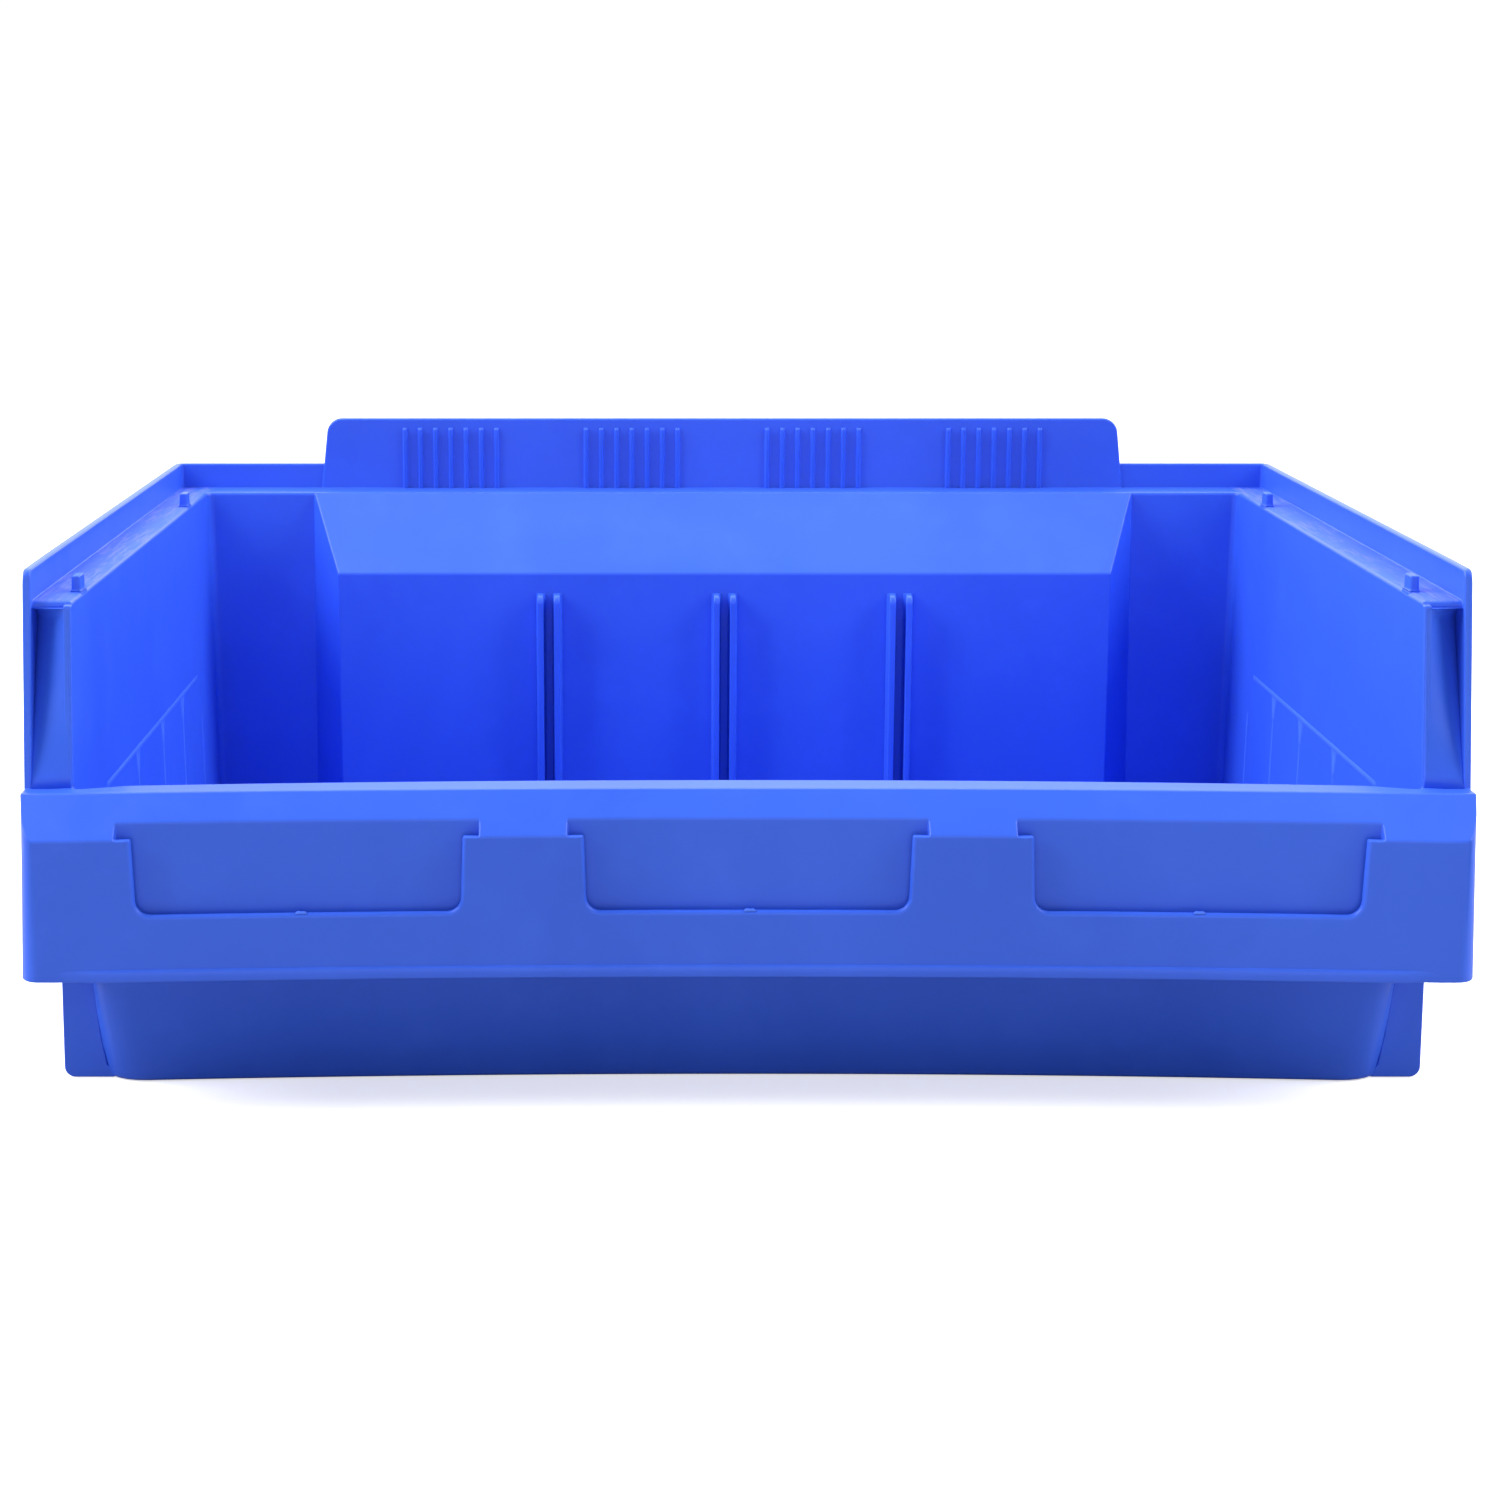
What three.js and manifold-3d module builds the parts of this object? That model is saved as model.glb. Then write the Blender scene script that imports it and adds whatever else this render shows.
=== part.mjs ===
// Stackable open-fronted storage bin, 400 x 300 mm footprint, 150 mm to the rim.
//
// The bin is one injection moulding. Each functional section of it is its own closed solid here:
// floor, walls, lip, label band, rims, feet, ribs. Neighbouring sections keep a hairline gap.
//
// Millimetres. X is the width, +Y points to the back, +Z is up.
// The origin is the centre of the footprint, on the surface that the bin stands on.

import * as THREE from "three";
import { mergeVertices } from "three/addons/utils/BufferGeometryUtils.js";
import Module from "manifold-3d";

const wasm = await Module();
wasm.setup();

// ---------------------------------------------------------------- driving dimensions

const WIDTH = 400;
const DEPTH = 300;
const RIM_Z = 150;
const TAB_Z = 166.5;
const LEDGE_Z = 141.2;
const LIP_Z = 91;

const WALL = 2.2;
const FLOOR = 2.5;
const RIM = 2.4;
const GAP = 0.3;
const DRAFT = 0.018;

// Tub.
const INSIDE_X = 186.4; // half the inside width at the ledge
const INSIDE_REAR_Y = 134; // inside of the rear corners at the ledge
const BOW = 7; // how far the front bends inwards at its middle
const BOW_HALF = 189; // half the width that the bow spans
const FLOOR_FRONT_Y = -114.8; // front edge of the floor, at its ends
const WALL_FRONT_Y = -137.7; // front face of the front wall under the lip, at its ends
const LIP_BOW = 10; // the wall's inner top edge bends in a little more than the band
const LIP_END_Y = -120; // how far back the lip runs under each front channel
const CORNER_R_LOW = 12;
const CORNER_R_HIGH = 4;
const CORNER_Y = -96; // where the front wall ends and the side wall begins

// Grip bulge in the rear wall.
const BULGE_Y = 106.8;
const BULGE_Z = 115.4;
const BULGE_HALF = 137.6;
const BULGE_TOP_HALF = 149;
const BULGE_ROOT_HALF = 150.7;
const CHEEK_WALL = 2.4; // measured across the bin

// Label band.
const BAND = 2;
const BAND_Y = -DEPTH / 2;
const BAND_R = 6;
const BAND_TOP_Z = 79.7;
const BAND_BOTTOM_Z = 40;
const BEAD = 0.8; // how far the bottom bead stands out at the middle; it fades out at the corners
const BEAD_TOP_Z = 42.4;
const BEAD_END_Z = 43.3;
const BEAD_HALF = 182;
const BEVEL_RUN = 9.8;
const BEVEL_WALL = 2.6; // measured upright
const BEVEL_UNDERCUT = 1.2;
const BEVEL_END = 0.2;
const WINDOW_PITCH = 123;
const WINDOW_WIDTH = 90;
const WINDOW_TAPER = 0.8;
const WINDOW_BOTTOM_Z = 58.6;
const WINDOW_R = 4;
const NOTCH_WIDTH = 98.8;
const POCKET_BACK = 3.6; // from the band's face to the back of a label pocket
const POCKET_WALL = 1.6;
const POCKET_BOTTOM_Z = 54;
const POCKET_FLOOR_Z = 56;

// Rim, skirt and front cheeks.
const RIM_FRONT_Y = -121.3;
const SKIRT_BOTTOM_Z = 122;
const CHEEK_REAR_Y = -112;
const CHEEK_R = 42;
const FRONT_EDGE_SLOPE = 0.2237;
const CHANNEL_DEPTH = 12;
const CHANNEL_EDGE = 1.2;

// Hanging tab.
const TAB_WALL = 3.2;
const TAB_TOP_HALF = 143.5;
const TAB_BASE_HALF = 146.4;
const TAB_R = 5.5;
const TAB_RIBS = 7;
const TAB_RIB_PITCH = 5.56;
const TAB_RIB_WIDTH = 2.16;
const TAB_RIB_HEIGHT = 0.7;
const RIB_ROOT = 0.5;
const TAB_RIB_TOP_Z = 163.2;
const TAB_GROUP_CENTRES = [-99, -33, 33, 99];

// Divider guides.
const GUIDE_CENTRES = [-62.2, 0, 62.2];
const GUIDE_SLOT = 3.6;
const GUIDE_WIDTH = 2.2;
const GUIDE_DEPTH = 7;
const GUIDE_TOP_Z = 108.4;
const GUIDE_R = 3;

// Feet and stacking nubs.
const FOOT_X = 197;
const FOOT_SHELF_Z = 80.2;
const FOOT_WALL = 2;
const FOOT_R = 3;
const FOOT_FRONT_Y = -108.7;
const GUSSETS_Y = [FOOT_FRONT_Y, -87, -33, 14, 55, 96, 128];
const NUB_Y = [-101.5, 93.5];
const NUB = { width: 3.3, length: 7, top: 145.8, r: 0.9 };

const BLUE = "#3763f4";

// ---------------------------------------------------------------- sizes that follow

const HALF_W = WIDTH / 2;
const REAR_Y = DEPTH / 2;
const WALL_TOP_Z = LEDGE_Z - WALL - GAP;
const LIP_BOTTOM_Z = LIP_Z - WALL;
const SKIRT_INNER_X = HALF_W - RIM;
const RIM_REAR_INNER_Y = REAR_Y - RIM;
const TAB_FRONT_Y = REAR_Y - TAB_WALL;
const BEVEL_SLOPE = (LIP_Z - BAND_TOP_Z) / BEVEL_RUN;
const LIP_OUTER_Y = BAND_Y + BEVEL_RUN;

const bow = (x) => Math.max(0, 1 - (x / BOW_HALF) ** 2);
const bandY = (x) => BAND_Y + BOW * bow(x);
const lipOuterY = (x) => LIP_OUTER_Y + BOW * bow(x);
const lipInnerY = (x) => WALL_FRONT_Y + WALL + LIP_BOW * bow(x);
const insideX = (z) => INSIDE_X - DRAFT * (LEDGE_Z - z);
const insideRearY = (z) => INSIDE_REAR_Y - DRAFT * (LEDGE_Z - z);
const frontEdgeY = (z) => RIM_FRONT_Y - FRONT_EDGE_SLOPE * (RIM_Z - z);
const mix = (a, b, t) => a + (b - a) * t;

const range = (from, to, steps) => Array.from({ length: steps + 1 }, (_, i) => mix(from, to, i / steps));

// ---------------------------------------------------------------- geometry helpers

/** A geometry from points and triangles, with its faces turned outwards. */
function geometryOf(points, triangles) {
  const a = new THREE.Vector3();
  const b = new THREE.Vector3();
  const c = new THREE.Vector3();
  let volume = 0;
  for (const [i, j, k] of triangles) {
    a.fromArray(points[i]);
    b.fromArray(points[j]);
    c.fromArray(points[k]);
    volume += a.dot(b.cross(c));
  }
  const index = triangles.flatMap(([i, j, k]) => (volume < 0 ? [i, k, j] : [i, j, k]));
  const geometry = new THREE.BufferGeometry();
  geometry.setAttribute("position", new THREE.Float32BufferAttribute(points.flat(), 3));
  geometry.setIndex(index);
  return geometry;
}

/** The closed solid between two grids of points of the same size; a grid is rows of [x, y, z]. */
function solidBetween(front, back) {
  const rows = front.length;
  const columns = front[0].length;
  const points = [...front.flat(), ...back.flat()];
  const f = (r, c) => r * columns + c;
  const k = (r, c) => rows * columns + f(r, c);
  const triangles = [];
  const quad = (p, q, r, s) => triangles.push([p, q, r], [p, r, s]);
  for (let r = 0; r < rows - 1; r++) {
    for (let c = 0; c < columns - 1; c++) {
      quad(f(r, c), f(r, c + 1), f(r + 1, c + 1), f(r + 1, c));
      quad(k(r, c), k(r + 1, c), k(r + 1, c + 1), k(r, c + 1));
    }
  }
  for (let c = 0; c < columns - 1; c++) {
    quad(f(0, c + 1), f(0, c), k(0, c), k(0, c + 1));
    quad(f(rows - 1, c), f(rows - 1, c + 1), k(rows - 1, c + 1), k(rows - 1, c));
  }
  for (let r = 0; r < rows - 1; r++) {
    quad(f(r, 0), f(r + 1, 0), k(r + 1, 0), k(r, 0));
    quad(f(r + 1, columns - 1), f(r, columns - 1), k(r, columns - 1), k(r + 1, columns - 1));
  }
  return geometryOf(points, triangles);
}

/** A flat outline, extruded; place(u, v, w) turns outline and depth coordinates into [x, y, z]. */
function plate(outline, from, to, place) {
  const flat = new THREE.ExtrudeGeometry(outline, { depth: to - from, bevelEnabled: false, curveSegments: 6 });
  flat.deleteAttribute("normal");
  flat.deleteAttribute("uv");
  const merged = mergeVertices(flat, 1e-4);
  const position = merged.getAttribute("position");
  const points = [];
  for (let i = 0; i < position.count; i++) {
    points.push(place(position.getX(i), position.getY(i), from + position.getZ(i)));
  }
  const triangles = [];
  for (let i = 0; i < merged.index.count; i += 3) {
    triangles.push([merged.index.getX(i), merged.index.getX(i + 1), merged.index.getX(i + 2)]);
  }
  return geometryOf(points, triangles);
}

const alongX = (u, v, w) => [w, u, v]; // outline in (y, z)
const alongY = (u, v, w) => [u, w, v]; // outline in (x, z)
const alongZ = (u, v, w) => [u, v, w]; // outline in (x, y)

/** A shape through points, each [x, y] or [x, y, radius] for a rounded corner. */
function outlineOf(corners) {
  const shape = new THREE.Shape();
  const n = corners.length;
  corners.forEach(([x, y, r = 0], i) => {
    const before = new THREE.Vector2(...corners[(i + n - 1) % n].slice(0, 2));
    const after = new THREE.Vector2(...corners[(i + 1) % n].slice(0, 2));
    const here = new THREE.Vector2(x, y);
    const start = here.clone().add(before.sub(here).setLength(r));
    const end = here.clone().add(after.sub(here).setLength(r));
    if (i === 0) shape.moveTo(start.x, start.y);
    else shape.lineTo(start.x, start.y);
    if (r > 0) shape.quadraticCurveTo(x, y, end.x, end.y);
  });
  shape.closePath();
  return shape;
}

function manifoldOf(geometry) {
  const bare = geometry.clone();
  bare.deleteAttribute("normal");
  bare.deleteAttribute("uv");
  const merged = mergeVertices(bare, 1e-4);
  return new wasm.Manifold(new wasm.Mesh({
    numProp: 3,
    vertProperties: merged.getAttribute("position").array,
    triVerts: new Uint32Array(merged.index.array),
  }));
}

function geometryFrom(manifold) {
  const mesh = manifold.getMesh();
  const geometry = new THREE.BufferGeometry();
  geometry.setAttribute("position", new THREE.BufferAttribute(mesh.vertProperties, mesh.numProp));
  geometry.setIndex(new THREE.BufferAttribute(mesh.triVerts, 1));
  return geometry;
}

const joined = (...parts) => geometryFrom(parts.map(manifoldOf).reduce((a, b) => a.add(b)));

function cut(body, ...tools) {
  return geometryFrom(tools.map(manifoldOf).reduce((a, b) => a.subtract(b), manifoldOf(body)));
}

// ---------------------------------------------------------------- the bin

const bin = new THREE.Group();

function add(name, geometry, mirrored = false) {
  const material = new THREE.MeshStandardMaterial({ color: BLUE, roughness: 0.42, metalness: 0 });
  const mesh = new THREE.Mesh(geometry, material);
  mesh.name = name;
  if (mirrored) mesh.scale.x = -1;
  bin.add(mesh);
}

/** A section on the right-hand side and its mirror image on the left. */
function addPair(name, geometry, suffix = "") {
  add(`${name}_right${suffix}`, geometry);
  add(`${name}_left${suffix}`, geometry.clone(), true);
}

/** The tub's front wall at one height, from the left side round both corners to the right side. */
function frontContour(z, inset) {
  const t = z / LIP_BOTTOM_Z;
  const side = insideX(z) + WALL - inset;
  const radius = mix(CORNER_R_LOW, CORNER_R_HIGH, t) - inset;
  const ends = mix(FLOOR_FRONT_Y, WALL_FRONT_Y, t) + inset;
  const depth = mix(BOW, LIP_BOW, t);
  const right = [];
  const straight = side - radius;
  for (const x of range(0, straight, 6)) right.push([x, ends + depth * (bow(x) - bow(straight)), z]);
  for (const angle of range(0, Math.PI / 2, 4).slice(1)) {
    right.push([straight + radius * Math.sin(angle), ends + radius - radius * Math.cos(angle), z]);
  }
  right.push([side, CORNER_Y, z]);
  const left = right.slice(1).reverse().map(([x, y]) => [-x, y, z]);
  return [...left, ...right];
}

function floorPanel() {
  const front = frontContour(FLOOR, 0).filter(([, y]) => y < CORNER_Y).map(([x, y]) => [x, y]);
  const side = insideX(FLOOR) + WALL;
  const rear = insideRearY(FLOOR) + WALL;
  const outline = outlineOf([
    ...front,
    [side, rear, CORNER_R_HIGH],
    [BULGE_ROOT_HALF - WALL, rear],
    [BULGE_HALF - WALL, BULGE_Y + WALL],
    [WALL - BULGE_HALF, BULGE_Y + WALL],
    [WALL - BULGE_ROOT_HALF, rear],
    [-side, rear, CORNER_R_HIGH],
  ]);
  return plate(outline, 0, FLOOR, alongZ);
}

function frontWall() {
  const heights = range(FLOOR + GAP, LIP_BOTTOM_Z - GAP, 3);
  return solidBetween(heights.map((z) => frontContour(z, 0)), heights.map((z) => frontContour(z, WALL)));
}

/** The lip caps the front wall; its ends run out under the front channels. */
function frontLip() {
  const end = SKIRT_INNER_X - GAP;
  const outer = range(-end, end, 16).map((x) => [x, lipOuterY(x) + GAP]);
  const inner = range(INSIDE_X - CORNER_R_HIGH, CORNER_R_HIGH - INSIDE_X, 14).map((x) => [x, lipInnerY(x)]);
  const back = LIP_END_Y;
  const outline = outlineOf([
    ...outer,
    [end, back],
    [INSIDE_X, back],
    ...inner,
    [-INSIDE_X, back],
    [-end, back],
  ]);
  return plate(outline, LIP_BOTTOM_Z, LIP_Z, alongZ);
}

function sideWall() {
  const foot = CORNER_Y + GAP;
  const lipBack = LIP_END_Y + GAP;
  const low = LIP_BOTTOM_Z;
  const onLip = LIP_Z + GAP;
  const outline = outlineOf([
    [foot, FLOOR + GAP],
    [insideRearY(FLOOR) - GAP, FLOOR + GAP],
    [insideRearY(LEDGE_Z) - GAP, WALL_TOP_Z],
    [frontEdgeY(WALL_TOP_Z), WALL_TOP_Z],
    [frontEdgeY(onLip), onLip],
    [lipBack, onLip],
    [lipBack, low],
    [foot, low],
  ]);
  return plate(outline, 0, WALL, (y, z, w) => [insideX(z) + w, y, z]);
}

function rearCornerWall() {
  const outline = outlineOf([
    [BULGE_ROOT_HALF + GAP, FLOOR + GAP],
    [insideX(FLOOR) + WALL, FLOOR + GAP],
    [insideX(LEDGE_Z) + WALL, WALL_TOP_Z],
    [BULGE_ROOT_HALF + GAP, WALL_TOP_Z],
  ]);
  return plate(outline, 0, WALL, (x, z, w) => [x, insideRearY(z) + w, z]);
}

function bulgePanel() {
  const half = BULGE_HALF - CHEEK_WALL - GAP;
  const top = BULGE_Z - GAP;
  const outline = outlineOf([[-half, FLOOR + GAP], [half, FLOOR + GAP], [half, top], [-half, top]]);
  return plate(outline, BULGE_Y, BULGE_Y + WALL, alongY);
}

function bulgeSlope() {
  const top = LEDGE_Z;
  const front = [
    [[-BULGE_HALF, BULGE_Y, BULGE_Z], [BULGE_HALF, BULGE_Y, BULGE_Z]],
    [[-BULGE_TOP_HALF, INSIDE_REAR_Y, top], [BULGE_TOP_HALF, INSIDE_REAR_Y, top]],
  ];
  const back = [
    front[0].map(([x, y, z]) => [x, y + WALL, z]),
    front[1].map(([x, y, z]) => [x, y + 0.2, z - WALL]),
  ];
  return solidBetween(front, back);
}

/** The slanting end wall of the bulge, from its front edge back to the rear corner wall. */
function bulgeCheek() {
  const ends = [
    { x: BULGE_HALF, y: BULGE_Y, top: BULGE_Z - CHEEK_WALL - GAP },
    { x: BULGE_ROOT_HALF, y: INSIDE_REAR_Y - CHEEK_WALL - GAP, top: WALL_TOP_Z - CHEEK_WALL },
  ];
  const low = (inset) => ends.map(({ x, y }) => [x - inset, y, FLOOR + GAP]);
  const high = (inset) => ends.map(({ x, y, top }) => [x - inset, y, top]);
  const grid = (inset) => [low(inset), high(inset)];
  return solidBetween(grid(0), grid(CHEEK_WALL));
}

function guideRib() {
  const back = BULGE_Y - GAP;
  const front = back - GUIDE_DEPTH;
  const outline = outlineOf([
    [front, FLOOR + GAP],
    [back, FLOOR + GAP],
    [back, GUIDE_TOP_Z],
    [front, GUIDE_TOP_Z, GUIDE_R],
  ]);
  return plate(outline, -GUIDE_WIDTH / 2, GUIDE_WIDTH / 2, alongX);
}

/** The band's face, its bevel up to the lip and its bottom bead, round both front corners. */
function labelBand() {
  const arcEnd = Math.acos(1.5 / BAND_R);
  const path = [];
  for (const x of range(0, HALF_W - BAND_R, 12)) path.push({ x, y: bandY(x), angle: 0 });
  for (const angle of range(0, arcEnd, 5).slice(1)) {
    path.push({
      x: HALF_W - BAND_R + BAND_R * Math.sin(angle),
      y: BAND_Y + BAND_R - BAND_R * Math.cos(angle),
      angle,
    });
  }
  const whole = [...path.slice(1).reverse().map((p) => ({ ...p, x: -p.x, angle: -p.angle })), ...path];
  const inward = (p, d) => [p.x - d * Math.sin(p.angle), p.y + d * Math.cos(p.angle)];
  const topZ = (p) => BAND_TOP_Z + BEVEL_SLOPE * (p.y - lipOuterY(p.x) + BEVEL_RUN);
  const bead = (x) => BEAD * Math.sqrt(Math.max(0, 1 - Math.abs(x) / BEAD_HALF));
  const face = (p) => [
    [...inward(p, -bead(p.x)), BAND_BOTTOM_Z],
    [...inward(p, -bead(p.x)), BEAD_TOP_Z],
    [p.x, p.y, BEAD_END_Z],
    [p.x, p.y, topZ(p)],
    [p.x, lipOuterY(p.x), LIP_Z],
  ];
  const lining = (p) => [
    [...inward(p, BAND), BAND_BOTTOM_Z],
    [...inward(p, BAND), BEAD_TOP_Z],
    [...inward(p, BAND), BEAD_END_Z],
    [...inward(p, BAND), topZ(p) - BEVEL_UNDERCUT],
    [inward(p, BAND)[0], Math.max(lipOuterY(p.x), inward(p, BAND)[1] + BEVEL_END), LIP_Z - BEVEL_WALL],
  ];
  const grid = (line) => face(whole[0]).map((_, row) => whole.map((p) => line(p)[row]));
  const shell = solidBetween(grid(face), grid(lining));
  return cut(shell, ...[-1, 0, 1].map((i) => windowCutter(i * WINDOW_PITCH)));
}

/** What a label window removes: the rounded opening, and the wider notch through the bevel. */
function windowCutter(centre) {
  const half = WINDOW_WIDTH / 2;
  const opening = outlineOf([
    [centre - half + WINDOW_TAPER, WINDOW_BOTTOM_Z, WINDOW_R],
    [centre + half - WINDOW_TAPER, WINDOW_BOTTOM_Z, WINDOW_R],
    [centre + half, BAND_TOP_Z + 1],
    [centre - half, BAND_TOP_Z + 1],
  ]);
  const through = plate(opening, BAND_Y - 5, BAND_Y + BOW + 6, alongY);
  const columns = range(centre - NOTCH_WIDTH / 2, centre + NOTCH_WIDTH / 2, 6);
  const rows = [BAND_TOP_Z, LIP_Z + 5];
  const front = rows.map((z) => columns.map((x) => [x, bandY(x) - 5, z]));
  const back = rows.map((z) => columns.map((x) => [x, bandY(x) + POCKET_BACK, z]));
  return joined(through, solidBetween(front, back));
}

/** The pocket behind a window: a back plate, with a stop below and at each end for the card. */
function labelPocket(centre) {
  const half = NOTCH_WIDTH / 2 + 1.5;
  const top = BAND_TOP_Z - 1.4;
  const columns = (inset) => range(centre - half + inset, centre + half - inset, 5);
  const grid = (inset, low, high, behind) => [low, high].map(
    (z) => columns(inset).map((x) => [x, bandY(x) + behind, z]),
  );
  const block = solidBetween(
    grid(0, POCKET_BOTTOM_Z, top, BAND + GAP),
    grid(0, POCKET_BOTTOM_Z, top, POCKET_BACK + POCKET_WALL),
  );
  const card = solidBetween(
    grid(1.5, POCKET_FLOOR_Z, top + 1, BAND - 1),
    grid(1.5, POCKET_FLOOR_Z, top + 1, POCKET_BACK),
  );
  return cut(block, card);
}

/** One side's outer skirt: a short upstand and skirt that drops into a cheek at the front corner. */
function sideSkirt() {
  const shape = new THREE.Shape();
  const front = LIP_OUTER_Y + GAP;
  shape.moveTo(front, BAND_BOTTOM_Z);
  shape.lineTo(CHEEK_REAR_Y, BAND_BOTTOM_Z);
  shape.lineTo(CHEEK_REAR_Y, SKIRT_BOTTOM_Z - CHEEK_R);
  shape.absarc(CHEEK_REAR_Y + CHEEK_R, SKIRT_BOTTOM_Z - CHEEK_R, CHEEK_R, Math.PI, Math.PI / 2, true);
  shape.lineTo(REAR_Y, SKIRT_BOTTOM_Z);
  shape.lineTo(REAR_Y, RIM_Z);
  shape.lineTo(RIM_FRONT_Y, RIM_Z);
  shape.lineTo(frontEdgeY(LIP_Z), LIP_Z);
  shape.lineTo(front, LIP_Z);
  shape.closePath();
  return plate(shape, SKIRT_INNER_X, HALF_W, alongX);
}

function rearSkirt() {
  const end = SKIRT_INNER_X - GAP;
  const notch = TAB_BASE_HALF + GAP;
  const outline = outlineOf([
    [-end, SKIRT_BOTTOM_Z],
    [end, SKIRT_BOTTOM_Z],
    [end, RIM_Z],
    [notch, RIM_Z],
    [notch, LEDGE_Z - GAP],
    [-notch, LEDGE_Z - GAP],
    [-notch, RIM_Z],
    [-end, RIM_Z],
  ]);
  return plate(outline, RIM_REAR_INNER_Y, REAR_Y, alongY);
}

function hangingTab() {
  const outline = outlineOf([
    [-TAB_BASE_HALF, LEDGE_Z],
    [TAB_BASE_HALF, LEDGE_Z],
    [TAB_TOP_HALF, TAB_Z, TAB_R],
    [-TAB_TOP_HALF, TAB_Z, TAB_R],
  ]);
  const ribs = [];
  for (const centre of TAB_GROUP_CENTRES) {
    for (let i = 0; i < TAB_RIBS; i++) {
      const x = centre + (i - (TAB_RIBS - 1) / 2) * TAB_RIB_PITCH;
      const rib = outlineOf([
        [x - TAB_RIB_WIDTH / 2, LEDGE_Z + GAP],
        [x + TAB_RIB_WIDTH / 2, LEDGE_Z + GAP],
        [x + TAB_RIB_WIDTH / 2, TAB_RIB_TOP_Z],
        [x - TAB_RIB_WIDTH / 2, TAB_RIB_TOP_Z],
      ]);
      ribs.push(plate(rib, TAB_FRONT_Y - TAB_RIB_HEIGHT, TAB_FRONT_Y + RIB_ROOT, alongY));
    }
  }
  return joined(plate(outline, TAB_FRONT_Y, REAR_Y, alongY), ...ribs);
}

/** A side ledge, with a notch in its inner edge for the root of each stacking nub. */
function sideLedge() {
  const notchX = INSIDE_X + NUB.width + GAP;
  const reach = NUB.length / 2 + GAP;
  const notches = [...NUB_Y].sort((a, b) => b - a).flatMap((y) => [
    [INSIDE_X, y + reach],
    [notchX, y + reach],
    [notchX, y - reach],
    [INSIDE_X, y - reach],
  ]);
  const outline = outlineOf([
    [INSIDE_X, RIM_FRONT_Y],
    [SKIRT_INNER_X - GAP, RIM_FRONT_Y],
    [SKIRT_INNER_X - GAP, INSIDE_REAR_Y],
    [INSIDE_X, INSIDE_REAR_Y],
    ...notches,
  ]);
  return plate(outline, LEDGE_Z - WALL, LEDGE_Z, alongZ);
}

function rearLedge() {
  const end = SKIRT_INNER_X - GAP;
  const front = INSIDE_REAR_Y + GAP;
  const back = TAB_FRONT_Y - TAB_RIB_HEIGHT - GAP;
  const outline = outlineOf([[-end, front], [end, front], [end, back], [-end, back]]);
  return plate(outline, LEDGE_Z - WALL, LEDGE_Z, alongZ);
}

/** The back of a front channel, which is deepest at the skirt, under the ledge. */
function frontWeb() {
  const heights = range(LIP_Z + GAP, WALL_TOP_Z, 3);
  const across = range(0, 1, 4);
  const near = INSIDE_X + WALL + GAP;
  const far = SKIRT_INNER_X - GAP;
  const rise = (z) => (z - LIP_Z) / (WALL_TOP_Z - LIP_Z);
  const depth = (t, z) => CHANNEL_EDGE + (CHANNEL_DEPTH - CHANNEL_EDGE) * rise(z) * Math.sin((t * Math.PI) / 2);
  const grid = (behind) => heights.map(
    (z) => across.map((t) => [mix(near, far, t), frontEdgeY(z) + depth(t, z) + behind, z]),
  );
  return solidBetween(grid(0), grid(WALL));
}

function stackingNub(y) {
  const from = INSIDE_X;
  const to = INSIDE_X + NUB.width;
  const root = LEDGE_Z - WALL;
  const outline = outlineOf([[from, root], [to, root], [to, NUB.top, NUB.r], [from, NUB.top, NUB.r]]);
  return plate(outline, y - NUB.length / 2, y + NUB.length / 2, alongY);
}

function footShelf() {
  const inner = insideX(FOOT_SHELF_Z) + WALL + GAP;
  const front = FOOT_FRONT_Y - FOOT_WALL / 2;
  const outline = outlineOf([[inner, front], [FOOT_X, front], [FOOT_X, INSIDE_REAR_Y], [inner, INSIDE_REAR_Y]]);
  return plate(outline, FOOT_SHELF_Z - WALL, FOOT_SHELF_Z, alongZ);
}

function footGusset(y) {
  const top = FOOT_SHELF_Z - WALL - GAP;
  const outline = outlineOf([
    [insideX(0) + WALL + GAP, 0],
    [FOOT_X, 0, FOOT_R],
    [FOOT_X, top],
    [insideX(top) + WALL + GAP, top],
  ]);
  return plate(outline, y - FOOT_WALL / 2, y + FOOT_WALL / 2, alongY);
}

add("floor_panel", floorPanel());
add("front_wall", frontWall());
add("front_lip", frontLip());
add("label_band", labelBand());
[-1, 0, 1].forEach((i) => add(`label_pocket_${i + 2}`, labelPocket(i * WINDOW_PITCH)));
addPair("side_wall", sideWall());
addPair("rear_corner_wall", rearCornerWall());
add("grip_recess_panel", bulgePanel());
add("grip_recess_slope", bulgeSlope());
addPair("grip_recess_cheek", bulgeCheek());
GUIDE_CENTRES.forEach((centre, pair) => {
  [-1, 1].forEach((side, i) => {
    const rib = guideRib();
    rib.translate(centre + side * (GUIDE_SLOT + GUIDE_WIDTH) / 2, 0, 0);
    add(`divider_guide_${pair * 2 + i + 1}`, rib);
  });
});
addPair("side_skirt", sideSkirt());
add("rear_skirt", rearSkirt());
add("hanging_tab", hangingTab());
addPair("side_ledge", sideLedge());
add("rear_ledge", rearLedge());
addPair("front_web", frontWeb());
NUB_Y.forEach((y, i) => addPair("stacking_nub", stackingNub(y), `_${i + 1}`));
addPair("foot_shelf", footShelf());
GUSSETS_Y.forEach((y, i) => addPair("foot_gusset", footGusset(y), `_${i + 1}`));

export default bin;
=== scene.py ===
"""Looks of a stackable open-fronted storage bin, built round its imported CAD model.

The bin is one blue polypropylene moulding, so its walls, rims, lip and label band are one seamless
shell: plain blocks are joined and cut, every sharp edge is rounded, and the front is then bent
inwards. Everything smaller, such as ribs, feet, pockets and nubs, is a piece rooted in the shell.

Shapes are worked out in millimetres and become metres when a piece is finished.
"""

import math

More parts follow.
